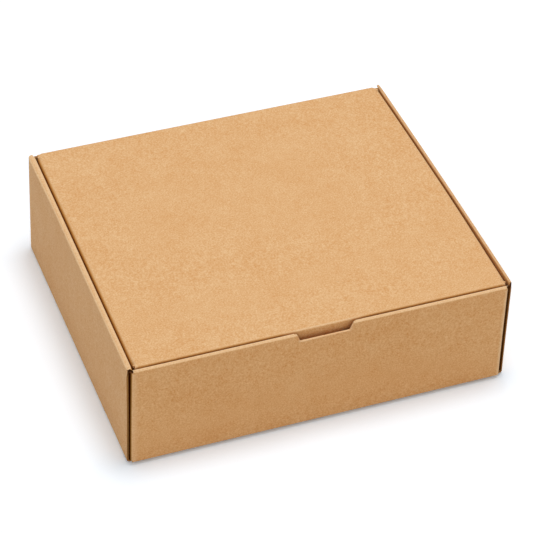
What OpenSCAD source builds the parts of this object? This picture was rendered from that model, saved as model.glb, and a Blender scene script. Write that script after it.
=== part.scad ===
// Closed corrugated board mailing box with rolled side and front walls and a tuck-in lid.
// Millimetres, +Z up, front face towards -Y. The origin is on the floor, below the middle of the box.
// The box is one folded blank. It is drawn as two pieces that meet at the crease behind the lid.

/* [Box] */
// Width over the outer faces of the two side walls
box_w = 300; // [240:1:400]
// Depth from the front face to the back face
box_d = 258; // [200:1:340]
// Height to the top of the closed lid
box_h = 93; // [75:1:140]

/* [Board] */
// Thickness of the corrugated board
board = 1.4; // [1.2:0.1:1.8]
// Inner radius of a creased fold
fold_r = 0.5; // [0.3:0.1:0.7]
// Free space between layers of board that lie on each other
slip = 0.1; // [0.05:0.05:0.3]

/* [Front wall] */
// Free space between the two layers of the front wall
front_slip = 0.4; // [0.1:0.05:0.8]
// How far each end of the front roll stops short of the lid's side edge
front_roll_inset = 0.5; // [0.5:0.5:4]
// How far the single layer beside the roll stays below the top of the box
front_corner_drop = 0.9; // [0.5:0.1:3]
// Width of the thumb notch at the top edge
notch_top_w = 44.5; // [30:0.5:70]
// Width of the thumb notch at its bottom
notch_bottom_w = 38.5; // [24:0.5:60]
// Depth of the thumb notch in the outer layer
notch_depth = 7; // [5:0.5:12]
// Radius of the two upper corners of the notch
notch_corner_r = 1.5; // [0.5:0.1:3]
// How much deeper the notch is cut in the inner layer
notch_inner_drop = 2.5; // [1:0.5:5]
// How much wider the notch is cut in the inner layer, at each side
notch_inner_margin = 1; // [0.5:0.5:4]

/* [Side walls] */
// Gap between an end of a rolled side wall and the wall that it runs up to
side_end_gap = 0.3; // [0.2:0.1:1]
// Length of the two ears folded back from the front wall
front_ear_len = 80; // [40:1:90]
// Length of the two ears folded forward from the back wall
back_ear_len = 80; // [40:1:90]
// Slant of the upper and lower edge of an ear, over its length
ear_taper = 9; // [4:1:20]
// Gap from an ear's edges to the side roll above it and to the floor fold below it
ear_edge_gap = 1.2; // [0.8:0.1:3]

/* [Locking tabs] */
// Width of each tab at the foot of the inner side panels
tab_w = 32; // [16:1:45]
// Distance of the tabs from the middle of the side wall
tab_offset = 68; // [30:1:72]
// Gap all round a tab in its floor slot
tab_gap = 0.25; // [0.2:0.05:0.6]

/* [Lid] */
// Gap between the lid's side fold and the rolled side wall
lid_side_gap = 1.25; // [0.4:0.05:2]
// Gap between the lid's front fold and the front wall
lid_front_gap = 1.6; // [0.3:0.05:2]
// Gap between the rounded back end of the lid and the edge of the back wall
hinge_gap = 0.3; // [0.2:0.05:0.6]
// How much of the lid's two back corners is cut off, along each edge
lid_corner_cut = 2.5; // [1:0.5:3]
// Height of the front tuck flap, measured from the lid's top
tuck_h = 36; // [25:1:45]
// How far each side of the tuck flap stops short of the lid's side edge
tuck_inset = 0.8; // [0.5:0.1:5]
// How much narrower the tuck flap is at its lower edge, at each side
tuck_taper = 6; // [1:0.5:12]
// Radius of the two lower corners of the tuck flap
tuck_corner_r = 10; // [4:1:18]
// Height of the side dust flaps, measured from the lid's top
dust_h = 44; // [30:1:55]
// Distance from the front of the lid to the fold of a dust flap
dust_front_relief = 3; // [2.5:0.5:15]
// Distance from the back of the lid to the fold of a dust flap
dust_back_relief = 4; // [3:1:30]
// Slant of the front edge of a dust flap, over its height
dust_front_taper = 8; // [2:1:20]
// Slant of the back edge of a dust flap, over its height
dust_back_taper = 30; // [10:1:60]

/* [Hidden] */

$fn = 64;
kraft = "#CFA172";
cut_over = 1;                                     // how far a cutting shape runs past the faces it cuts

x_out = box_w / 2;                                // outer face of a side wall
y_out = box_d / 2;                                // outer face of the front and back walls
fold_out = fold_r + board;                        // outer radius of a creased fold
side_wall = 3 * board + 2 * slip;                 // outer panel, ear and inner panel
x_in = x_out - side_wall;                         // inner face of a side wall
front_wall = 2 * board + front_slip;              // outer and inner layer
roll_r = front_wall / 2;                          // outer radius of the front roll
y_front_in = -y_out + front_wall;                 // inner face of the front wall
wall_half = x_out - board - slip;                 // outer face of the ears
flat_half = wall_half - fold_out;                 // flat part of the front and back walls
side_front = y_front_in + side_end_gap;           // front end of a side wall
side_back = y_out - fold_out - side_end_gap;      // back end of a side wall
side_len = side_back - side_front;

lid_half = x_in - lid_side_gap;                   // side edge of the lid
roll_half = lid_half - front_roll_inset;          // end of the front roll
lid_front = y_front_in + lid_front_gap;           // front face of the lid's front fold
hinge_y = y_out - board / 2;                      // axis of the lid's crease
hinge_z = box_h - board / 2;
back_top = hinge_z - board / 2 - hinge_gap;       // upper edge of the back wall
reach = hinge_y - lid_front;                      // crease to the front of the lid
tuck_half = lid_half - tuck_inset;
tuck_len = tuck_h - fold_out;                     // flat part of the tuck flap
// The tuck flap leans inwards along a chord of the arc that its outer face swings on.
tuck_lean = asin(tuck_len / (2 * reach)) + asin((fold_out - board / 2) / reach);

ear_low = fold_out + ear_edge_gap;
ear_high = box_h - board - ear_edge_gap;
slot_w = board + 2 * tab_gap;

// Places a shape drawn in the Y-Z plane, and runs it along +X from x.
module along_x(x) {
    translate([x, 0, 0]) rotate([90, 0, 90]) children();
}

// Places a shape drawn in the X-Z plane, and runs it along -Y from y.
module along_y(y) {
    translate([0, y, 0]) rotate([90, 0, 0]) children();
}

// Draws the children as they are and mirrored across the middle of the box.
module both_sides() {
    children();
    mirror([1, 0, 0]) children();
}

// Board bent round the local Z axis, from one angle to another.
module bend(length, from, to, r = fold_r) {
    rotate([0, 0, from]) rotate_extrude(angle = to - from) translate([r, 0]) square([board, length]);
}

// Points on an arc, from one angle to another.
function arc(centre, r, from, to, steps = 8) =
    [for (i = [0:steps]) let (a = from + (to - from) * i / steps) centre + r * [cos(a), sin(a)]];

// Flat bottom of the box, with a slot for each locking tab.
module floor_panel() {
    difference() {
        union() {
            translate([-x_out + fold_out, side_front, 0]) cube([2 * (x_out - fold_out), side_len, board]);
            translate([-flat_half, -y_out + fold_out, 0]) cube([2 * flat_half, 2 * (y_out - fold_out), board]);
        }
        both_sides() for (y = [-tab_offset, tab_offset])
            translate([x_in - tab_gap, y - tab_w / 2 - tab_gap, -cut_over])
                cube([slot_w, tab_w + 2 * tab_gap, board + 2 * cut_over]);
    }
}

// Outer panel, roll over the top, inner panel and tabs of the right side wall.
module side_wall_right() {
    outer_axis = x_out - fold_out;
    inner_axis = x_in + fold_out;
    along_y(side_back) {
        translate([outer_axis, fold_out, 0]) bend(side_len, -90, 0);
        translate([x_out - board, fold_out, 0]) cube([board, box_h - 2 * fold_out, side_len]);
        translate([outer_axis, box_h - fold_out, 0]) bend(side_len, 0, 90);
        translate([inner_axis, box_h - board, 0]) cube([outer_axis - inner_axis, board, side_len]);
        translate([inner_axis, box_h - fold_out, 0]) bend(side_len, 90, 180);
        translate([x_in, board + slip, 0]) cube([board, box_h - fold_out - board - slip, side_len]);
    }
    for (y = [-tab_offset, tab_offset])
        translate([x_in, y - tab_w / 2, 0]) cube([board, tab_w, 2 * board]);
}

// Ear at the right end of the front wall: the upright fold and the flap that runs back from it.
// A fold that stands higher than the flap steps down before the flap goes in under the side roll.
module ear_right(length, fold_top) {
    fold_y = -y_out + fold_out;
    step_y = (side_front - fold_y) / 2;
    step = fold_top > ear_high ? [[step_y, ear_high], [step_y, fold_top]] : [];
    translate([0, fold_y, 0]) {
        translate([flat_half, 0, ear_low]) bend(fold_top - ear_low, -90, 0);
        along_x(wall_half - board) linear_extrude(board)
            polygon(concat([[0, ear_low], [length, ear_low + ear_taper], [length, ear_high - ear_taper]],
                step, [[0, fold_top]]));
    }
}

// Outline of the thumb notch in the X-Z plane, open at the top.
module notch_outline(top_w, bottom_w, depth, corner_r) {
    run = (top_w - bottom_w) / 2;
    slant = atan2(depth, run);
    tangent = corner_r * tan(slant / 2);
    centre = [top_w / 2 + tangent, box_h - corner_r];
    right = arc(centre, corner_r, 90, 90 + slant);
    polygon(concat(
        [[centre[0], box_h + cut_over]],
        right,
        [[bottom_w / 2, box_h - depth], [-bottom_w / 2, box_h - depth]],
        [for (i = [len(right) - 1:-1:0]) [-right[i][0], right[i][1]]],
        [[-centre[0], box_h + cut_over]]));
}

// Outer layer, roll over the top, inner layer and ears of the front wall.
module front_wall_panels() {
    roll_z = box_h - roll_r;
    corner_top = box_h - front_corner_drop;
    layer_split = -y_out + roll_r;
    difference() {
        union() {
            along_x(-flat_half) translate([-y_out + fold_out, fold_out, 0]) bend(2 * flat_half, 180, 270);
            translate([-flat_half, -y_out, fold_out]) cube([2 * flat_half, board, roll_z - fold_out]);
            both_sides() translate([roll_half, -y_out, roll_z])
                cube([flat_half - roll_half, board, corner_top - roll_z]);
            along_x(-roll_half) translate([layer_split, roll_z, 0])
                bend(2 * roll_half, 0, 180, front_slip / 2);
            translate([-roll_half, y_front_in - board, board + slip])
                cube([2 * roll_half, board, roll_z - board - slip]);
        }
        along_y(y_front_in + cut_over) linear_extrude(front_wall + 2 * cut_over)
            notch_outline(notch_top_w, notch_bottom_w, notch_depth, notch_corner_r);
        // The inner layer is cut wider and deeper, so that it stays out of sight.
        along_y(y_front_in + cut_over) linear_extrude(roll_r + cut_over)
            notch_outline(notch_top_w + 2 * notch_inner_margin, notch_bottom_w + 2 * notch_inner_margin,
                notch_depth + notch_inner_drop, notch_corner_r);
    }
    both_sides() ear_right(front_ear_len, corner_top);
}

// Back wall up to the lid's crease, with its two ears.
module back_wall_panels() {
    mirror([0, 1, 0]) {
        along_x(-flat_half) translate([-y_out + fold_out, fold_out, 0]) bend(2 * flat_half, 180, 270);
        translate([-flat_half, -y_out, fold_out]) cube([2 * flat_half, board, back_top - fold_out]);
        both_sides() ear_right(back_ear_len, ear_high);
    }
}

// Lower part of the box: floor and four walls, folded from one sheet.
module tray() {
    color(kraft) union() {
        floor_panel();
        both_sides() side_wall_right();
        front_wall_panels();
        back_wall_panels();
    }
}

// Flat top of the lid. Its back end is rounded about the crease, between two corners cut at a slant.
module lid_panel() {
    fold_x = lid_half - fold_out;
    back_half = lid_half - lid_corner_cut;
    dust_front = lid_front + dust_front_relief;
    translate([0, 0, box_h - board]) {
        translate([-fold_x, lid_front + fold_out, 0])
            cube([2 * fold_x, hinge_y - lid_corner_cut - lid_front - fold_out, board]);
        both_sides() translate([fold_x, lid_front + fold_out, 0])
            cube([fold_out, dust_front - lid_front - fold_out, board]);
        translate([0, hinge_y, 0]) linear_extrude(board)
            polygon([[-back_half, 0], [-lid_half, -lid_corner_cut], [-lid_half, -dust_back_relief],
                [lid_half, -dust_back_relief], [lid_half, -lid_corner_cut], [back_half, 0]]);
    }
    translate([-back_half, hinge_y, hinge_z]) rotate([0, 90, 0]) cylinder(h = 2 * back_half, d = board);
}

// Front flap that tucks in behind the front wall.
module tuck_flap() {
    low_half = tuck_half - tuck_taper;
    lean_in = tuck_len * tan(tuck_lean);
    right = concat([[tuck_half, cut_over], [tuck_half, 0]],
        arc([low_half - tuck_corner_r, tuck_corner_r - tuck_len], tuck_corner_r, 0, -90));
    translate([0, lid_front, box_h - fold_out]) {
        along_x(-tuck_half) translate([fold_out, 0, 0]) bend(2 * tuck_half, 90, 180);
        intersection() {
            along_x(-tuck_half) linear_extrude(2 * tuck_half)
                polygon([[0, 0], [lean_in, -tuck_len], [lean_in + board, -tuck_len], [board, 0]]);
            along_y(lean_in + board + cut_over) linear_extrude(lean_in + board + 2 * cut_over)
                polygon(concat(right, [for (i = [len(right) - 1:-1:0]) [-right[i][0], right[i][1]]]));
        }
    }
}

// Right side flap that hangs down inside the side wall.
module dust_flap_right() {
    front = lid_front + dust_front_relief;
    back = hinge_y - dust_back_relief;
    dust_len = dust_h - fold_out;
    translate([0, 0, box_h - fold_out]) {
        along_y(back) translate([lid_half - fold_out, 0, 0]) bend(back - front, 0, 90);
        along_x(lid_half - board) linear_extrude(board)
            polygon([[front, 0], [back, 0], [back - dust_back_taper, -dust_len],
                [front + dust_front_taper, -dust_len]]);
    }
}

// Lid with its tuck flap and dust flaps, folded from the same sheet as the tray.
module lid() {
    color(kraft) union() {
        lid_panel();
        tuck_flap();
        both_sides() dust_flap_right();
    }
}

tray();
lid();
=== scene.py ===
# %% [markdown]
# # A closed cardboard mailing box
# The real object is one die-cut sheet of thin corrugated board. It is creased and folded so that
# the side walls and the front wall roll over at the top, and the lid's front flap tucks in behind
# the front wall. Everything we see is brown kraft paper, its folds and its cut edges.
#
# The construction is already finished in CAD. It is loaded here as a fixed frame with two bodies,
# the tray and the lid that swings on it. All lengths below are in metres, as in the frame.

# %% Load the frame
import math

import bmesh
import bpy
from mathutils import Matrix, Vector, noise
from mathutils.bvhtree import BVHTree


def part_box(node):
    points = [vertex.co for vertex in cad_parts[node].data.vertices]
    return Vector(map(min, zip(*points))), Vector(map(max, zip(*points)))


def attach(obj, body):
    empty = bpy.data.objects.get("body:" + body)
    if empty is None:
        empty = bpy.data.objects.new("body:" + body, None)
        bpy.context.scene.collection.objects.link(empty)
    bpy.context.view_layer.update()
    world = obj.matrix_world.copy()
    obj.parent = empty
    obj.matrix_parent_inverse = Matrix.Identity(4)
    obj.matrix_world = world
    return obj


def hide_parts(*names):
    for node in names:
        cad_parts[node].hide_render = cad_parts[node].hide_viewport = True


MM = 0.001
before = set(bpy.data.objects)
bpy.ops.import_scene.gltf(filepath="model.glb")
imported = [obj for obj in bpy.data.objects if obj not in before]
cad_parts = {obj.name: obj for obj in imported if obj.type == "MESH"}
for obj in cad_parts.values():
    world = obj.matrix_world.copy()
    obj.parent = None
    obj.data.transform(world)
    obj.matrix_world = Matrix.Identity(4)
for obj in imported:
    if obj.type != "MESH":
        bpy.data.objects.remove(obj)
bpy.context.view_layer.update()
for name in sorted(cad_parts):
    low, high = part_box(name)
    print(name, "from", [round(v / MM, 1) for v in low], "to", [round(v / MM, 1) for v in high], "mm")

# %% [markdown]
# ## The camera
# The straight edges of the box in the photograph fix the camera: their vanishing directions give
# the focal length and the three angles, and the box's corners give the distance. A long lens from
# nearly two metres away keeps the far edges almost parallel, as in a product picture. The roll of a
# few degrees is in the photograph, so it is kept, and the lens needs no shift.

# %% Place the camera
IMAGE_SIDE = 533                      # pixels, width and height of the photograph
FOCAL_PIXELS = 2411
AZIMUTH, ELEVATION, ROLL = -21.80, 41.03, -2.33    # degrees
AIM = Vector((0.0220, 0.0466, 0))     # where the lens axis meets the floor
DISTANCE = 1.9324


def camera_matrix(azimuth, elevation, roll, aim, distance):
    a, e, r = (math.radians(angle) for angle in (azimuth, elevation, roll))
    back = Vector((math.sin(a) * math.cos(e), -math.cos(a) * math.cos(e), math.sin(e)))
    right = Vector((0, 0, 1)).cross(back).normalized()
    down = right.cross(back)
    across = math.cos(r) * right + math.sin(r) * down
    up = math.sin(r) * right - math.cos(r) * down
    turn = Matrix((across, up, back)).transposed().to_4x4()
    return Matrix.Translation(aim + back * distance) @ turn


camera = bpy.data.objects.new("camera", bpy.data.cameras.new("camera"))
bpy.context.scene.collection.objects.link(camera)
camera.data.sensor_width = 36
camera.data.lens = FOCAL_PIXELS / IMAGE_SIDE * camera.data.sensor_width
camera.matrix_world = camera_matrix(AZIMUTH, ELEVATION, ROLL, AIM, DISTANCE)
bpy.context.scene.camera = camera
print("lens", round(camera.data.lens, 1), "mm")
print("camera at", [round(v, 3) for v in camera.matrix_world.translation])

# %% [markdown]
# ## Helpers for materials
# Colours are read off as sRGB hex values, and a shader wants them linear, so one function turns
# one into the other. `add_node` adds a node, sets it up and links its inputs in one line, which
# keeps a material readable from top to bottom. Three short forms stand for the nodes that come
# most often: a number stored on the mesh, a step of arithmetic, and a mix of two colours.

# %% Helpers for colours and nodes
def linear(hex_colour):
    channels = [int(hex_colour[i:i + 2], 16) / 255 for i in (1, 3, 5)]
    return [c / 12.92 if c <= 0.04045 else ((c + 0.055) / 1.055) ** 2.4 for c in channels] + [1]


def add_node(tree, kind, inputs=None, **settings):
    node = tree.nodes.new("ShaderNode" + kind)
    for key, value in settings.items():
        setattr(node, key, value)
    for key, value in (inputs or {}).items():
        if isinstance(value, bpy.types.NodeSocket):
            tree.links.new(value, node.inputs[key])
        else:
            node.inputs[key].default_value = value
    return node


def new_material(name):
    material = bpy.data.materials.new(name)
    material.use_nodes = True
    material.node_tree.nodes.clear()
    return material, material.node_tree


def stored(tree, name):
    return add_node(tree, "Attribute", attribute_name=name).outputs["Fac"]


def compute(tree, operation, *values):
    return add_node(tree, "Math", dict(enumerate(values)), operation=operation).outputs[0]


def blend_colour(tree, factor, below, above, mode="MIX"):
    inputs = {0: factor, 6: below, 7: above}
    return add_node(tree, "Mix", inputs, data_type="RGBA", blend_type=mode).outputs[2]


print("light kraft is", [round(c, 3) for c in linear("#D9AE7E")[:3]], "in linear light")

# %% [markdown]
# ## Kraft liner
# The faces of corrugated board are kraft linerboard: long unbleached wood fibres, pressed and
# dried on a hot cylinder. The eye gets a warm brown with several sizes of unevenness: soft clouds
# two to four centimetres across from uneven pulp and glue, flecks of a few millimetres, and a fine
# grain of fibre clumps. The darker spots are also the more saturated ones, because more brown
# lignin shows there. A few single fibres lie on top as short light or dark hairs. The paper is
# matt, with a faint sheen from the pressing.
#
# One photograph of paper could be used as a texture, but noise in the object's own coordinates has
# no seams at the folds and no repeats. Where the board is folded, the colour is made lighter: partly
# the real wear of stretched and rubbed outer fibres, partly a painted highlight. The `fold`
# attribute, made further down, says where that is. The `front` attribute marks the faces towards the
# front, which get a painted warm tint that stands for warm light from the front. Another number marks
# the two sides of each groove with painted shade, a deep orange brown for the light that bounces from
# brown paper to brown paper, and `deep` marks the paper inside the corner slots with painted shade,
# nearly black, where hardly any light reaches.

# %% Make the kraft liner
CLOUD, FLECK, GRAIN = 30 * MM, 6 * MM, 1.1 * MM        # sizes of the unevenness
CLOUD_SHARE, FLECK_SHARE, GRAIN_SHARE = 0.32, 0.36, 1.9
FIBRE_LONG, FIBRE_WIDE = 4.5 * MM, 0.45 * MM
FIBRE_FROM, FIBRE_TO = 0.74, 0.84     # of the noise: below it there is no fibre, above it a full one
KRAFT_DARK, KRAFT_LIGHT = linear("#D39757"), linear("#EBC494")
FIBRE_LIGHT, FIBRE_DARK = linear("#F0D3AE"), linear("#B98B5C")
# Lighter paper on the folds: partly real wear, partly a painted highlight.
WEAR_AND_HIGHLIGHT, WEAR_AND_HIGHLIGHT_SHARE = linear("#F6D8AE"), 0.6
# A painted tint of warm light, for the faces towards the front.
WARM_LIGHT_TINT = (1, 0.95, 0.87, 1)       # tints multiply the colour of the paper
# Painted shade in the grooves and slots, a deep orange brown.
PAINTED_SHADE_TINT = (0.72, 0.5, 0.15, 1)
# Painted shade, nearly black, inside the corner slots.
SLOT_SHADE_TINT = (0.06, 0.02, 0.004, 1)


def fibres(tree, place, angle):
    """Thin streaks on a small share of the surface, turned by an angle in each plane."""
    turned = add_node(tree, "Mapping", {"Vector": place, "Rotation": (angle, angle * 0.7, angle * 1.3),
                                        "Scale": (1 / FIBRE_LONG, 1 / FIBRE_WIDE, 1 / FIBRE_WIDE)})
    streaks = add_node(tree, "TexNoise", {"Vector": turned.outputs[0], "Scale": 1, "Detail": 1})
    return add_node(tree, "MapRange", {"Value": streaks.outputs[0], "From Min": FIBRE_FROM,
                                       "From Max": FIBRE_TO}).outputs[0]


def kraft_liner():
    material, tree = new_material("kraft linerboard")
    place = add_node(tree, "TexCoord").outputs["Object"]
    tone = 0.5 - 0.5 * (CLOUD_SHARE + FLECK_SHARE + GRAIN_SHARE)
    for size, share, detail in ((CLOUD, CLOUD_SHARE, 2), (FLECK, FLECK_SHARE, 1), (GRAIN, GRAIN_SHARE, 2)):
        spots = add_node(tree, "TexNoise", {"Vector": place, "Scale": 1 / size, "Detail": detail})
        tone = compute(tree, "MULTIPLY_ADD", spots.outputs[0], share, tone)
    base = blend_colour(tree, tone, KRAFT_DARK, KRAFT_LIGHT)
    base = blend_colour(tree, fibres(tree, place, 0.6), base, FIBRE_LIGHT)
    base = blend_colour(tree, fibres(tree, place, 2.1), base, FIBRE_DARK)
    # Painted warm tint of light on the faces towards the front.
    base = blend_colour(tree, stored(tree, "front"), base, WARM_LIGHT_TINT, mode="MULTIPLY")
    # Folds mixed towards lighter paper: partly real wear, partly a painted highlight.
    base = blend_colour(tree, compute(tree, "MULTIPLY", stored(tree, "fold"), WEAR_AND_HIGHLIGHT_SHARE), base, WEAR_AND_HIGHLIGHT)
    # Painted shade on the sides of the grooves and in the slots.
    painted_shade = stored(tree, "painted_shade")
    base = blend_colour(tree, painted_shade, base, PAINTED_SHADE_TINT, mode="MULTIPLY")
    # Painted shade inside the corner slots.
    base = blend_colour(tree, stored(tree, "deep"), base, SLOT_SHADE_TINT, mode="MULTIPLY")
    rough = add_node(tree, "MapRange", {"Value": tone, "To Min": 0.72, "To Max": 0.86})
    tooth = add_node(tree, "Bump", {"Strength": 0.3, "Distance": 0.05 * MM, "Height": tone})
    sheen = add_node(tree, "MapRange", {"Value": painted_shade, "To Min": 0.3, "To Max": 0})
    shader = add_node(tree, "BsdfPrincipled", {"Base Color": base, "Roughness": rough.outputs[0],
                                               "Normal": tooth.outputs[0],
                                               "Specular IOR Level": sheen.outputs[0]})
    add_node(tree, "OutputMaterial", {"Surface": shader.outputs[0]})
    return material


liner = kraft_liner()
print(liner.name, "has", len(liner.node_tree.nodes), "nodes")

# %% [markdown]
# ## The cut edge
# A die-cut edge shows what the board is made of: two thin liners with a wavy sheet between them,
# and open flutes between these, whose shade is painted dark. In this fine E-flute the wave repeats
# about every 3.3 mm and the board is 1.4 mm thick. In the picture that is hardly two pixels wide, so
# all the eye gets is a darker line of torn paper. The `corner` attribute marks the cut edges in the
# small holes at the front corners, which are painted nearly black as painted shade.
#
# The wave needs two numbers at each point: `across`, from -1 at one liner to 1 at the other, and
# `flute`, how far along the wave the point lies. Both are stored on the mesh further down. Where
# `across` stays at 1, as it does on most cut edges of this box, only the torn paper shows.

# %% Make the cut edge
FLUTE_PITCH = 3.3 * MM
WAVE_HEIGHT = 0.66                    # of half the board, from the middle to a crest of the wave
WAVE_OUT, WAVE_IN = 0.42, 0.2         # distance from the wave at which its paper ends, and is full
LINER_SHARE = 0.8                     # of the way from the middle to the face, where a liner begins
FRAY = 0.8 * MM                       # size of the torn fibres
# The dark between the paper of a cut edge is painted shade, for the open flutes.
FLUTE_HOLE_SHADE, TORN_DARK, TORN_LIGHT = linear("#3E2A16"), linear("#9E6C38"), linear("#C08C50")
# Painted shade, nearly black, on the cut edges in the corner holes.
HOLE_SHADE_TINT = (0.2, 0.13, 0.07, 1)


def cut_edge():
    material, tree = new_material("die-cut E-flute edge")
    across = stored(tree, "across")
    phase = compute(tree, "MULTIPLY", stored(tree, "flute"), 2 * math.pi / FLUTE_PITCH)
    wave = compute(tree, "MULTIPLY", compute(tree, "SINE", phase), WAVE_HEIGHT)
    away = compute(tree, "ABSOLUTE", compute(tree, "SUBTRACT", across, wave))
    medium = add_node(tree, "MapRange", {"Value": away, "From Min": WAVE_OUT, "From Max": WAVE_IN})
    face = add_node(tree, "MapRange", {"Value": compute(tree, "ABSOLUTE", across),
                                       "From Min": LINER_SHARE - 0.08, "From Max": LINER_SHARE})
    paper = compute(tree, "MAXIMUM", medium.outputs[0], face.outputs[0])
    place = add_node(tree, "TexCoord").outputs["Object"]
    fray = add_node(tree, "TexNoise", {"Vector": place, "Scale": 1 / FRAY, "Detail": 2}).outputs[0]
    # Painted shade in the open flutes, between the torn paper.
    colour = blend_colour(tree, paper, FLUTE_HOLE_SHADE, blend_colour(tree, fray, TORN_DARK, TORN_LIGHT))
    # Painted shade on the cut edges in the corner holes.
    colour = blend_colour(tree, stored(tree, "corner"), colour, HOLE_SHADE_TINT, mode="MULTIPLY")
    bump = add_node(tree, "Bump", {"Strength": 0.6, "Distance": 0.3 * MM, "Height": paper})
    rough = add_node(tree, "MapRange", {"Value": fray, "To Min": 0.85, "To Max": 0.98})
    shader = add_node(tree, "BsdfPrincipled", {"Base Color": colour, "Roughness": rough.outputs[0],
                                               "Normal": bump.outputs[0], "Specular IOR Level": 0.15})
    add_node(tree, "OutputMaterial", {"Surface": shader.outputs[0]})
    return material


edge = cut_edge()
print(edge.name, "has", len(edge.node_tree.nodes), "nodes")

# %% [markdown]
# ## Sheets of board from the CAD model
# The CAD model has the right outline, folds and thickness, so there is no reason to draw the board
# again. What it lacks is enough points to bend, and it can't be changed in place. A copy can: its
# loose triangles are merged, flat areas are joined to whole faces, and planes cut these into a
# grid. Extra cuts a millimetre beside each fold keep the smooth shading of the fold from spilling
# over the flat panel.

# %% Copy a node and cut it into a grid
GRID = 14 * MM                        # width of the even grid
CLEAR = 2 * MM                        # what its planes keep clear of beside a fold
MERGE, SNAP = 0.002 * MM, 0.001 * MM  # distances under which points are one, or lie on a plane
SAME_PLANE = math.radians(0.1)


def cut_planes(low, high, folds):
    """Places of the cutting planes along one axis: an even grid, and a line beside each fold."""
    steps = max(1, round((high - low) / GRID))
    even = [low + (high - low) * i / steps for i in range(1, steps)]
    return [at for at in even if all(abs(at - fold) > CLEAR for fold in folds)] + list(folds)


def board_mesh(node, folds):
    bm = bmesh.new()
    bm.from_mesh(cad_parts[node].data)
    bmesh.ops.remove_doubles(bm, verts=bm.verts, dist=MERGE)
    bmesh.ops.dissolve_limit(bm, angle_limit=SAME_PLANE, verts=bm.verts, edges=bm.edges)
    low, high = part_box(node)
    for axis in range(3):
        normal = Vector([float(axis == i) for i in range(3)])
        for at in cut_planes(low[axis], high[axis], folds[axis]):
            bmesh.ops.bisect_plane(bm, geom=bm.verts[:] + bm.edges[:] + bm.faces[:], dist=SNAP,
                                   plane_co=normal * at, plane_no=normal)
    bmesh.ops.triangulate(bm, faces=bm.faces)
    bm.normal_update()
    return bm


tray_low, tray_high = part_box("tray")
lid_low, lid_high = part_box("lid")
BOARD = 1.4 * MM
FOLD = 1.9 * MM                       # outer radius of a fold
FRONT_WALL, SIDE_WALL = 3.2 * MM, 4.4 * MM         # thickness over all layers
BESIDE = FOLD + 1 * MM
SLIT = 0.3 * MM                       # between neighbouring panels
ROLL_FRONT, ROLL_BACK = tray_low.y + FRONT_WALL + SLIT, tray_high.y - FOLD - SLIT    # ends of a side roll
ROLL_ZONE = 8 * MM                    # how far inwards and downwards the shape of a roll reaches
ROLL_LOW = tray_high.z - ROLL_ZONE
TIP, RINGS = 4 * MM, (0.25, 0.5, 1)   # length of the rounded end of a side roll, and the cuts in it
tray_folds = [
    [side * (tray_high.x - inset) for side in (-1, 1) for inset in (BESIDE, ROLL_ZONE)],
    [tray_low.y + BESIDE, tray_high.y - BESIDE] + [ROLL_FRONT + TIP * ring for ring in RINGS]
    + [ROLL_BACK - TIP * ring for ring in RINGS],
    [BESIDE, tray_high.z - BESIDE, ROLL_LOW],
]
lid_folds = [
    [side * (lid_high.x - BESIDE) for side in (-1, 1)],
    [lid_low.y + BESIDE],
    [lid_high.z - BESIDE],
]
sheets = {"tray": board_mesh("tray", tray_folds), "lid": board_mesh("lid", lid_folds)}
for name, bm in sheets.items():
    open_edges = sum(not e.is_manifold for e in bm.edges)
    print(name, len(bm.faces), "triangles,", open_edges, "open edges")

# %% [markdown]
# ## Which faces are cut edges
# A face of the liner has the far liner 1.4 mm behind it. A cut edge has board behind it for many
# millimetres. So a ray sent inwards from the middle of each face tells the two apart, with no list
# of places to keep in step with the CAD model. There are two exceptions. The rounded back end of
# the lid is a crease, and the edge of the thumb notch is crushed so round that it shows no flutes.
#
# With the cut faces taken out, the two liners of a sheet should be two separate skins. Walking from
# face to neighbouring face looks for them, to give the points of one skin 1 and of the other -1.
#
# The count below shows that this fails here: each sheet comes out as a single skin. Next to corners
# and narrow flaps a cut edge has little board behind it, and its small faces pass for liner and join
# the two sides. So the wave of the flutes hardly shows on the cut edges.

# %% Sort the faces into liner and cut edge
LINER, EDGE = 0, 1                    # material slots of a sheet
crease_y = lid_high.y - BOARD / 2
NOTCH_HALF = 24 * MM                  # half the width of the thumb notch, and a little more
TINY = 0.01 * MM


def not_a_cut(face):
    """The crease behind the lid, and the edge of the thumb notch, which the die has crushed round."""
    place = face.calc_center_median()
    in_crease = place.y > crease_y and place.z > tray_high.z - BOARD
    in_notch = abs(place.x) < NOTCH_HALF and place.y < tray_low.y + BOARD and place.z > ROLL_LOW
    return in_crease or in_notch and abs(face.normal.y) < 0.1


def sort_faces(bm):
    tree = BVHTree.FromBMesh(bm)
    for face in bm.faces:
        thick = tree.ray_cast(face.calc_center_median() - face.normal * TINY, -face.normal)[3]
        is_cut = thick is not None and thick > 1.5 * BOARD and not not_a_cut(face)
        face.material_index = EDGE if is_cut else LINER


def find_skins(bm):
    """Groups of liner faces that hang together, the largest first."""
    left = {face for face in bm.faces if face.material_index == LINER and not not_a_cut(face)}
    skins = []
    while left:
        rim, skin = [left.pop()], []
        while rim:
            face = rim.pop()
            skin.append(face)
            near = {other for e in face.edges for other in e.link_faces} & left
            left -= near
            rim.extend(near)
        skins.append(skin)
    return sorted(skins, key=len, reverse=True)


for name, bm in sheets.items():
    sort_faces(bm)
    skins = find_skins(bm)
    print(name, sum(f.material_index == EDGE for f in bm.faces), "cut faces, skins of",
          [len(skin) for skin in skins[:4]], "faces")

# %% [markdown]
# ## Three curves
# From here on everything changes smoothly from place to place. Three curves are enough for that: a
# straight rise from 0 to 1, a soft rise that starts and ends level, and a hump.

# %% Make the curves
def between(at, low, high):
    """0 at low, 1 at high, straight in between and flat outside."""
    return min(max((at - low) / (high - low), 0), 1)


def ramp(at, low, high):
    """0 at low, 1 at high, smooth in between and flat outside."""
    t = between(at, low, high)
    return t * t * (3 - 2 * t)


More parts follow.
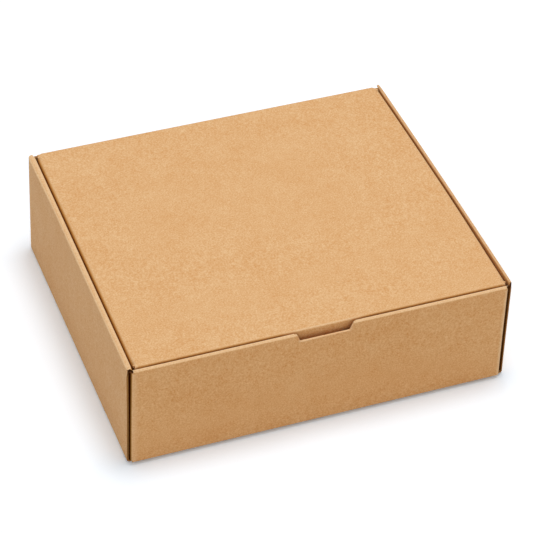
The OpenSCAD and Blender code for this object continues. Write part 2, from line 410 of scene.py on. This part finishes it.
def hump(at, low, high):
    """0 at both ends, 1 in the middle, flat outside."""
    t = between(at, low, high)
    return 4 * t * (1 - t)


print("a quarter of the way along:", between(0.25, 0, 1), ramp(0.25, 0, 1), hump(0.25, 0, 1))

# %% [markdown]
# ## Painted highlights on the folds
# A light line is painted on as a highlight along the inner side of the front roll and of the left
# roll, and up the two front corners, more at the right corner than at the left. The right roll has
# no such line.
#
# The ears lie hidden inside the side walls, so they are told apart from the panels by their place.

# %% Find the painted fold highlights
SLACK, WIDE_SLACK = 0.1 * MM, 0.3 * MM             # for comparing a place with a plane of the CAD model
EAR_NEAR, EAR_FAR = 1.45 * MM, 2.95 * MM           # where the ears lie, inwards from the side face
EAR_FOOT, EAR_DROP = 3 * MM, 2.5 * MM              # where they end, from the table and from the top
# Strengths of the painted highlight: on the front and left rolls, how far down it reaches, and on the
# upright folds at the ends of the front wall.
HIGHLIGHT_FRONT, HIGHLIGHT_LEFT, HIGHLIGHT_DROP = 1.3, 0.9, 0.9 * MM
HIGHLIGHT_END_LEFT, HIGHLIGHT_END_RIGHT, HIGHLIGHT_END_WIDE = 0.5, 1, 5 * MM  # the upright folds at the ends of the front wall


def in_ear(co):
    inset = tray_high.x - abs(co.x)
    return EAR_NEAR < inset < EAR_FAR and EAR_FOOT < co.z < tray_high.z - EAR_DROP


def painted_highlight(co):
    """The painted highlight at a place of the board, apart from what its own bend says."""
    if co.y < tray_low.y + WIDE_SLACK and tray_high.x - HIGHLIGHT_END_WIDE < abs(co.x):
        return HIGHLIGHT_END_LEFT if co.x < 0 else HIGHLIGHT_END_RIGHT
    if co.z < tray_high.z - HIGHLIGHT_DROP or co.x > tray_high.x - SIDE_WALL:
        return 0
    front = between(co.y, tray_low.y, tray_low.y + FRONT_WALL) * (co.y < tray_low.y + FRONT_WALL + SLACK)
    left = between(co.x, tray_low.x, tray_low.x + SIDE_WALL) * (co.x < tray_low.x + SIDE_WALL + SLACK)
    return max(HIGHLIGHT_FRONT * front, HIGHLIGHT_LEFT * left)


# Counts the points that get the painted highlight.
print("worn points of the tray:", sum(painted_highlight(vert.co) > 0 for vert in sheets["tray"].verts))

# %% [markdown]
# ## Where hardly any light comes
# Three kinds of place get painted shade, darker than plain light and paper make them: the upright
# slots at the front corners, the grooves around the lid, and the small holes at the ends of the
# front roll. The first two also depend on the way that the paper faces.

# %% Find the dark places
SLOT_WIDE, SLOT_LONG, SLOT_TOP = 4 * MM, 8 * MM, 2 * MM
# Strength of the painted shade in the slots: left, right, and at the front end of a side roll.
DEPTH_LEFT, DEPTH_RIGHT, DEPTH_TOP = 1, 0.93, 0.9
# Painted shade in the grooves: its strength at the left, right and front, and the heights where it fades
# in.
GROOVE_SHADE_LEFT, GROOVE_SHADE_RIGHT, GROOVE_SHADE_FRONT = 0.9, 0.5, 0.65
GROOVE_SHADE_LOW, GROOVE_SHADE_HIGH = tray_high.z - 6 * MM, tray_high.z - 2 * MM
HOLE_WIDE, HOLE_LONG, HOLE_DEEP = 4.6 * MM, 5 * MM, 4 * MM
FACING = (0.3, 0.9)                   # share of the direction from which a face looks into a groove
groove_side = tray_high.x - lid_high.x             # far sides of the grooves, from the outer faces
groove_front = lid_low.y - tray_low.y


def slot_depth(co, normal):
    """Painted shade: 1 for what can be seen of the ears in the two corner slots, less on the folds beside
    them.
    """
    inset = tray_high.x - abs(co.x)
    if not SLACK < inset < SLOT_WIDE or co.y > tray_low.y + SLOT_LONG:
        return 0
    if co.z > tray_high.z - SLOT_TOP and co.y > tray_low.y + FRONT_WALL:
        at_end = abs(co.y - ROLL_FRONT) < 4 * SLACK and co.z < tray_high.z - 5 * SLACK
        return DEPTH_TOP * at_end
    if co.y > tray_low.y + FOLD - SLACK:
        return DEPTH_LEFT if co.x < 0 else DEPTH_RIGHT
    return between(abs(normal.x), 0.25, 0.9)


def painted_groove_shade(co, normal):
    """Painted shade on both sides of the grooves around the lid, browner, strongest at the left."""
    inset, behind = tray_high.x - abs(co.x), co.y - tray_low.y
    high = ramp(co.z, GROOVE_SHADE_LOW, GROOVE_SHADE_HIGH)
    if SIDE_WALL - WIDE_SLACK < inset < groove_side + FOLD:
        outwards = math.copysign(normal.x, normal.x * co.x)
        facing = outwards if inset > groove_side - SLACK else -outwards
        return (GROOVE_SHADE_LEFT if co.x < 0 else GROOVE_SHADE_RIGHT) * high * ramp(facing, *FACING)
    if FRONT_WALL - WIDE_SLACK < behind < groove_front + FOLD and abs(co.x) > NOTCH_HALF:
        facing = -normal.y if behind > groove_front - SLACK else normal.y
        return GROOVE_SHADE_FRONT * high * ramp(facing, *FACING)
    return 0


def in_corner(co):
    """Whether a place of the tray lies in the small hole at the top of a front corner, which gets painted
    shade.
    """
    inset, behind = tray_high.x - abs(co.x), co.y - tray_low.y
    near = inset < HOLE_WIDE and behind < HOLE_LONG or inset < ROLL_ZONE and behind < FRONT_WALL + SLACK
    return near and co.z > tray_high.z - HOLE_DEEP


print("points in the corner holes:", sum(in_corner(vert.co) for vert in sheets["tray"].verts))

# %% [markdown]
# ## Numbers stored on the mesh
# `fold` comes from the direction of the liner: it is 0 where the liner faces along an axis, and 1
# halfway round a fold, or as much as the painted highlight. `across` comes from the skins, and is 1
# on nearly all of the liner because only one was found. `flute` follows the sheet: the flutes run
# from front to back in the floor, the lid and the sides, and upright in the front and back walls, so
# the wave runs along X there, up the side panels, and along Y in the ears. `front` says how far a
# face looks forwards, for the painted warm tint, and `deep`, the groove number and `corner` mark the
# painted shade.

# %% Store the numbers
HALFWAY = 1 - math.sqrt(0.5)          # what halfway round a fold takes off the steepest direction


def store_numbers(bm):
    names = ("fold", "across", "flute", "front", "deep", "painted_shade", "corner")
    fold, across, flute, front, deep, painted_shade, corner = (bm.verts.layers.float.new(name) for name in names)
    for side, skin in zip((1, -1), find_skins(bm)):
        for vert in {vert for face in skin for vert in face.verts}:
            vert[across] = side
    for vert in bm.verts:
        liners = [face for face in vert.link_faces if face.material_index == LINER]
        normal = sum((face.normal * face.calc_area() for face in liners), Vector())
        if normal.length == 0:
            continue
        normal.normalize()
        steepest = max(range(3), key=lambda axis: abs(normal[axis]))
        # Lighter on the folds: partly real wear, partly a painted highlight.
        vert[fold] = max((1 - abs(normal[steepest])) / HALFWAY, painted_highlight(vert.co))
        # Painted shade in the corner slots.
        vert[deep] = slot_depth(vert.co, normal)
        # Painted shade on the cut edges in the corner holes.
        vert[corner] = float(in_corner(vert.co))
        # Painted shade of the grooves, and twice the painted shade of the slots.
        vert[painted_shade] = max(min(2 * vert[deep], 1), painted_groove_shade(vert.co, normal))
        vert[flute] = vert.co.x if steepest else vert.co.y if in_ear(vert.co) else vert.co.z
        # How far a face looks forwards, for the painted warm tint.
        vert[front] = ramp(-normal.y, 0.5, 1)


for name, bm in sheets.items():
    store_numbers(bm)
    layers = bm.verts.layers.float.items()
    print(name, {key: round(max(vert[layer] for vert in bm.verts), 2) for key, layer in layers})

# %% [markdown]
# ## Rounder folds at the lid's sides
# The outer radius of a fold is 1.9 mm in the CAD model. The folds at the two sides of the real lid
# are rounder, which gives the far side of the left groove its soft brown gradient. Here each
# fold's centre moves inwards, so that both faces of the board keep their distance.
#
# This is the first of several shapes. A shape is a function that gives the shift of a place, and
# one function bends a sheet by it.

# %% Round the lid's side folds
ROUNDER, FADE = 1.3 * MM, 11 * MM     # what the radius gains, and how far it is felt beside the fold
SHEET = BOARD * 1.1                   # a layer of board, and a little more


def bend(name, shape):
    """Moves all points of a sheet by a shape, and tells by how much it moves one at most."""
    largest = 0
    for vert in sheets[name].verts:
        shift = shape(vert.co)
        vert.co += shift
        largest = max(largest, shift.length)
    print(name, "bent by", shape.__name__, "by up to", round(largest / MM, 2), "mm")


def widen(inset, drop):
    """The shift of a point near a fold, by its distances inwards and downwards from the outer faces."""
    if inset < FOLD and drop < FOLD:
        way = Vector((FOLD - inset, FOLD - drop)).normalized()
        return ROUNDER * (1 - way.x), ROUNDER * (1 - way.y)
    if min(inset, drop) > SHEET:
        return 0, 0
    flat = max(1 - (max(inset, drop) - FOLD) / FADE, 0)
    return (ROUNDER * flat, 0) if drop < inset else (0, ROUNDER * flat)


def rounder_folds(co):
    aside, down = widen(lid_high.x - abs(co.x), lid_high.z - co.z)
    return Vector((-math.copysign(aside, co.x), 0, -down))


bend("lid", rounder_folds)

# %% [markdown]
# ## A little life in the panels
# Board is never quite flat. The walls of an empty box belly out by a few tenths of a millimetre
# between their folds, the lid is a shade crowned, and it ripples very slightly. The same shift is
# given to every layer of a wall, so that the layers never cross, and it fades to nothing at the
# folds, so that the gaps stay as the CAD model has them.

# %% Belly the walls and crown the lid
BELLY, CROWN, RIPPLE, RIPPLE_LENGTH = 0.45 * MM, 0.5 * MM, 0.4 * MM, 75 * MM


def belly(co):
    up = hump(co.z, 0, tray_high.z - FOLD)
    out = Vector()
    if abs(co.x) > tray_high.x - SIDE_WALL - SLACK:
        out.x = math.copysign(BELLY * up * hump(co.y, tray_low.y, tray_high.y), co.x)
    if co.y < tray_low.y + FRONT_WALL + SLACK:
        out.y = -BELLY * up * hump(co.x, tray_low.x + FOLD, tray_high.x - FOLD)
    if co.y > tray_high.y - SHEET:
        out.y = BELLY * up * hump(co.x, tray_low.x + FOLD, tray_high.x - FOLD)
    return out


def crown(co):
    out = Vector()
    if co.z > lid_high.z - SHEET:
        inside = hump(co.x, lid_low.x + FOLD, lid_high.x - FOLD)
        inside *= hump(co.y, lid_low.y + FOLD, crease_y - FOLD)
        wave = noise.noise(Vector((co.x, co.y, 0)) / RIPPLE_LENGTH)
        out.z = (CROWN + RIPPLE * wave) * inside
    return out


bend("tray", belly)
bend("lid", crown)

# %% [markdown]
# ## Rounded roll ends
# The ends of the side rolls are squeezed round when the box is folded, like finger tips, and at the
# back they reach over the corner of the back wall. The rings that were cut near the ends give the
# board something to bend. The front wall's roll reaches a little further into each corner than in
# the CAD model, so that only a small dark hole is left between it and the side roll.

# %% Round the roll ends
SQUASH_LEFT, SQUASH_RIGHT = 0.6, 0.35
REACH_LEFT, REACH_RIGHT = 2.9 * MM, 3.3 * MM       # how far the back ends are moved back
REACH_MORE = 1.8 * MM                 # and what the right one's inner side adds to that
FRONT_END, FRONT_OUT = 6 * MM, 2.4 * MM            # ends of the front roll, from the side, and their shift
ROLL_TOP = 1.7 * MM                   # height of its upper layer


def in_side_roll(co):
    in_wall = abs(co.x) > tray_high.x - SIDE_WALL - SLACK and not in_ear(co)
    in_inner_panel = abs(co.x) < tray_high.x - 2 * BOARD and co.z < tray_high.z - FOLD + SLACK / 2
    in_length = ROLL_FRONT - SLACK < co.y < ROLL_BACK + SLACK
    return in_wall and in_length and not in_inner_panel


def side_roll_end(co):
    if not in_side_roll(co):
        return Vector()
    near = max(ROLL_FRONT + TIP - co.y, co.y - ROLL_BACK + TIP, 0) / TIP
    high = ramp(co.z, ROLL_LOW, tray_high.z - FOLD)
    strength = SQUASH_LEFT if co.x < 0 else SQUASH_RIGHT
    squash = (1 - math.sqrt(1 - strength * min(near, 1) ** 2)) * high
    middle = math.copysign(tray_high.x - SIDE_WALL / 2, co.x)
    inner = between(-abs(co.x), -tray_high.x + 1 * MM, -tray_high.x + SIDE_WALL)
    reach = REACH_LEFT if co.x < 0 else REACH_RIGHT + REACH_MORE * inner
    back = reach * near * high if co.y > 0 else 0
    return Vector(((middle - co.x) * squash, back, (tray_high.z - FOLD - co.z) * squash * 0.5))


def front_roll_end(co):
    in_roll = co.y < tray_low.y + FRONT_WALL + SLACK and co.z > tray_high.z - ROLL_TOP
    at_end = abs(tray_high.x - abs(co.x) - FRONT_END) < 2 * SLACK
    return Vector((math.copysign(FRONT_OUT, co.x) * (in_roll and at_end), 0, 0))


def roll_ends(co):
    return side_roll_end(co) + front_roll_end(co)


bend("tray", roll_ends)

# %% [markdown]
# ## How the sides have settled
# A box folded by hand is never quite square, and the photograph shows where this one isn't. Its
# left wall leans in at the back, and the side walls stand out a little at the floor. The right roll
# is folded tighter than the left one, most of all at the front, and it is slightly bowed. Both
# rolls are a little lower at their left.

# %% Shapes of the settled sides
LEAN, TURN = 0.72 * MM, 0.95 * MM     # of the left wall's top: in its middle, and what the back adds
LEAN_RIGHT = 0.9 * MM                 # of the right wall's top at its back end
LEAN_ZONE, TIGHT_ZONE = (130 * MM, 143 * MM), (130 * MM, 144 * MM)     # from the middle of the box
OUT, OUT_ZONE = 0.9 * MM, (60 * MM, 128 * MM)      # how far the left roll's outer side stands out
TIGHT_BACK, TIGHT_FRONT = 0.95 * MM, 2.3 * MM      # how much narrower the right roll is
BOW, BOW_MEAN = 0.7 * MM, 0.67        # of the right wall's top, from its ends to its middle
SPREAD, FOOT_ZONE = 0.7 * MM, (140 * MM, 147 * MM)  # how far the side walls stand out at the floor
SPREAD_LEFT = 0.7                     # share of it at the left, where it is the same all along
TILT = 0.4 * MM                       # how much lower each roll is at its left side than at its right


def lean(co):
    backwards = between(co.y, tray_low.y, tray_high.y)
    high = (co.z / tray_high.z) ** 2
    if co.x < 0:
        top = (LEAN + TURN * co.y / tray_high.y) * high * ramp(-co.x, *LEAN_ZONE)
        out = OUT * high * ramp(co.y, *OUT_ZONE) * ramp(-co.x, tray_high.x - SIDE_WALL, tray_high.x)
        return Vector((top - out, 0, 0))
    inner, outer = ramp(co.x, *TIGHT_ZONE), ramp(co.x, tray_high.x - SIDE_WALL, tray_high.x)
    tight = TIGHT_FRONT + (TIGHT_BACK - TIGHT_FRONT) * backwards
    bow = BOW * (hump(co.y, tray_low.y, tray_high.y) - BOW_MEAN) * high * inner
    return Vector((tight * (inner - outer) - LEAN_RIGHT * backwards * outer * high + bow, 0, 0))


def spread(co):
    if co.y <= ROLL_FRONT - SLACK:
        return Vector()
    where = between(co.y, tray_high.y, tray_low.y) if co.x > 0 else SPREAD_LEFT
    out = SPREAD * where * ramp(abs(co.x), *FOOT_ZONE) * (1 - co.z / tray_high.z) ** 3
    return Vector((math.copysign(out, co.x), 0, 0))


def tilt(co):
    if abs(co.x) < tray_high.x - SIDE_WALL - SLACK or in_ear(co):
        return Vector()
    right_side = tray_high.x if co.x > 0 else tray_low.x + SIDE_WALL
    from_right = between(co.x, right_side, right_side - SIDE_WALL)
    return Vector((0, 0, -TILT * from_right ** 2 * ramp(co.z, ROLL_LOW, tray_high.z - FOLD)))


for place in (tray_low, tray_high):
    corner = Vector((place.x, tray_high.y, tray_high.z))
    print("back corner at", round(place.x / MM), "mm moves by", round(lean(corner).x / MM, 2), "mm in x")

# %% [markdown]
# ## How the front has settled
# The front edge of the lid and the front wall have sunk, and the front wall's lower edge stands
# forwards and just off the table. Its ends have moved against the side walls: at the right one the
# wall is a shade too narrow, and that opens the dark upright slot beside it.
#
# The lid and the tray share the lean and the sag, so that the gap between them keeps its width.
# Most shifts are of one or two millimetres.

# %% Settle both sheets
SAG_LEFT, SAG_RIGHT = 0.95 * MM, 1.9 * MM
LIFT, FORWARD = 2.3 * MM, 1.5 * MM    # of the front wall's lower edge
LIFT_ZONE = (95 * MM, 127 * MM)       # where the floor begins to follow it, from the middle of the box
SLOT_LEFT, SLOT_LEFT_LOW, SLOT_RIGHT = 0.6 * MM, -1.2 * MM, 3.6 * MM   # inwards, at the top and bottom
SLOT_ZONE = (138 * MM, 146.6 * MM)


def sag(co):
    deepest = SAG_LEFT + (SAG_RIGHT - SAG_LEFT) * between(co.x, tray_low.x, tray_high.x)
    return Vector((0, 0, -deepest * ramp(-co.y, 0, -tray_low.y) * co.z / tray_high.z))


def lift(co):
    share = (1 - co.z / tray_high.z) ** 3
    if co.y > ROLL_FRONT - SLACK:
        share *= ramp(-co.y, *LIFT_ZONE) * (1 - ramp(abs(co.x), *FOOT_ZONE))
    return Vector((0, -FORWARD, LIFT)) * share


def corner_slot(co):
    """Moves the front wall's ends, but not the ears behind them."""
    left = SLOT_LEFT_LOW + (SLOT_LEFT - SLOT_LEFT_LOW) * co.z / tray_high.z
    pull = left if co.x < 0 else -SLOT_RIGHT
    outer = ramp(-co.y, -ROLL_FRONT, 2 * MM - ROLL_FRONT)
    return Vector((pull * outer * ramp(abs(co.x), *SLOT_ZONE), 0, 0))


def settled_tray(co):
    out = lean(co) + spread(co) + tilt(co) + lift(co) + corner_slot(co)
    return out + sag(co) if co.y < ROLL_FRONT - SLACK else out


def settled_lid(co):
    return lean(co) + sag(co)


bend("tray", settled_tray)
bend("lid", settled_lid)

# %% [markdown]
# ## Hand the sheets over to the bodies
# Each finished sheet stands for its CAD node and rides on that node's body, so the lid swings with
# the joint. Edges sharper than 30 degrees stay crisp, and the folds shade as round.

# %% Make the pieces
def mesh_object(bm, name, *materials):
    mesh = bpy.data.meshes.new(name)
    bm.to_mesh(mesh)
    bm.free()
    for material in materials:
        mesh.materials.append(material)
    piece = bpy.data.objects.new(name, mesh)
    bpy.context.scene.collection.objects.link(piece)
    return piece


def finish_sheet(bm, name, node, body):
    piece = mesh_object(bm, name, liner, edge)
    piece.data.shade_smooth()
    piece.data.set_sharp_from_angle(angle=math.radians(30))
    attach(piece, body)
    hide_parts(node)
    return piece


tray_board = finish_sheet(sheets["tray"], "tray_board", "tray", "tray body")
lid_board = finish_sheet(sheets["lid"], "lid_board", "lid", "lid body")
print("pieces:", tray_board.name, lid_board.name)

# %% [markdown]
# ## The crease behind the lid
# On the real box the back wall runs on into the lid, and the board is only pinched thin where it
# bends. The CAD model leaves a slit of 0.3 mm there, because its lid has to turn freely. A narrow
# pinched strip closes it. The lid's back end is round about the same axis, so the strip touches it
# alike at every angle and can simply stay with the tray.

# %% Make the crease strip
CREASE_LOW, CREASE_HIGH = tray_high.z - 2.1 * MM, tray_high.z - 0.9 * MM
CREASE_THICK, PINCH = BOARD * 0.94, 0.9            # and what pinching leaves of it in the middle
CORNER_CUT = 2.5 * MM                 # off the two back corners of the lid
strip_size = (2 * (lid_high.x - CORNER_CUT), CREASE_THICK, CREASE_HIGH - CREASE_LOW)
bm = bmesh.new()
bmesh.ops.create_cube(bm, size=1)
bmesh.ops.scale(bm, verts=bm.verts, vec=strip_size)
upright = [e for e in bm.edges if abs(e.verts[0].co.z - e.verts[1].co.z) > SLACK]
bmesh.ops.subdivide_edges(bm, edges=upright, cuts=3)
bmesh.ops.scale(bm, verts=[v for v in bm.verts if abs(v.co.z) < SLACK], vec=(1, PINCH, 1))
bmesh.ops.translate(bm, verts=bm.verts, vec=(0, crease_y, (CREASE_LOW + CREASE_HIGH) / 2))
bmesh.ops.recalc_face_normals(bm, faces=bm.faces)
crease_strip = mesh_object(bm, "lid_crease_strip", liner)
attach(crease_strip, "tray body")
print("crease strip:", len(crease_strip.data.polygons), "faces")

# %% [markdown]
# ## Floor
# The box stands on a seamless white sweep, lit so brightly that its open part is pure white in the
# picture and only the darkest part of the shadow shows. A plain matt plane does the same, if the
# camera alone sees it a little brighter than the paper really is. For the light that it throws
# back onto the box, it stays ordinary white paper.

# %% Make the floor
FLOOR_HALF, FLOOR_DROP = 5.0, 0.1 * MM
SEEN_WHITE = (1.1, 1.17, 1.25, 1)     # white enough to stay white in open light, and a shade cool
ORDINARY_WHITE = linear("#DADADA")


def seen_or_not(tree, ordinary, seen):
    """One shader for what the camera sees, also by way of a mirror or glass, and one for the rest."""
    path = add_node(tree, "LightPath").outputs
    direct = compute(tree, "MAXIMUM", path["Is Camera Ray"], path["Is Glossy Ray"])
    direct = compute(tree, "MAXIMUM", direct, path["Is Transmission Ray"])
    return add_node(tree, "MixShader", {0: direct, 1: ordinary.outputs[0], 2: seen.outputs[0]}).outputs[0]


def white_sweep():
    material, tree = new_material("white paper sweep")
    place = add_node(tree, "TexCoord").outputs["Object"]
    fibre = add_node(tree, "TexNoise", {"Vector": place, "Scale": 1 / (2 * MM), "Detail": 2})
    rough = add_node(tree, "MapRange", {"Value": fibre.outputs[0], "To Min": 0.85, "To Max": 1.0})
    paper = add_node(tree, "BsdfDiffuse", {"Color": ORDINARY_WHITE, "Roughness": rough.outputs[0]})
    bright = add_node(tree, "BsdfDiffuse", {"Color": SEEN_WHITE, "Roughness": rough.outputs[0]})
    add_node(tree, "OutputMaterial", {"Surface": seen_or_not(tree, paper, bright)})
    return material


bm = bmesh.new()
bmesh.ops.create_grid(bm, x_segments=1, y_segments=1, size=FLOOR_HALF)
bmesh.ops.translate(bm, verts=bm.verts, vec=(0, 0, -FLOOR_DROP))
floor = mesh_object(bm, "floor", white_sweep())
print("floor of", 2 * FLOOR_HALF, "m")

# %% [markdown]
# ## Light
# The picture has the even light of a white studio. The lid is about half as bright again as the
# walls, and the shadow is only a soft rim around the box. Both mean that about half of the light
# comes from all around, and the other half from a soft box nearly straight above. The front wall
# is a little warmer and lighter than the side, so a weak warm light comes from the front, and a
# weaker plain one from the left. For the camera itself the world is pure white.

# %% Make the lights
WORLD_LEVEL = 0.53
LAMPS = (                             # name, place, aim, size in metres, watts and colour
    ("soft box above", (0.2, 0.15, 2.4), (0, 0, 0), 0.9, 24.5, (1, 1, 1)),
    ("warm front fill", (-0.1, -2.1, 0.5), (0, 0, 0.05), 1.2, 6, (1, 0.85, 0.65)),
    ("left fill", (-2.1, 0, 0.5), (0, 0, 0.05), 1.2, 2.5, (1, 1, 1)),
)


def soft_box(name, place, aim, size, watts, colour):
    lamp = bpy.data.lights.new(name, "AREA")
    lamp.shape, lamp.size, lamp.energy, lamp.color = "SQUARE", size, watts, colour
    holder = bpy.data.objects.new(name, lamp)
    bpy.context.scene.collection.objects.link(holder)
    holder.location = place
    holder.rotation_euler = (Vector(aim) - Vector(place)).to_track_quat("-Z", "Y").to_euler()


world = bpy.data.worlds.new("white studio")
bpy.context.scene.world = world
world.use_nodes = True
tree = world.node_tree
tree.nodes.clear()
around = add_node(tree, "Background", {"Color": (1, 1, 1, 1), "Strength": WORLD_LEVEL})
seen = add_node(tree, "Background", {"Color": (1, 1, 1, 1), "Strength": 1})
add_node(tree, "OutputWorld", {"Surface": seen_or_not(tree, around, seen)})
for lamp in LAMPS:
    soft_box(*lamp)
    print(lamp[0], lamp[4], "W")
bpy.context.scene.view_settings.view_transform = "Standard"
print("world", WORLD_LEVEL)
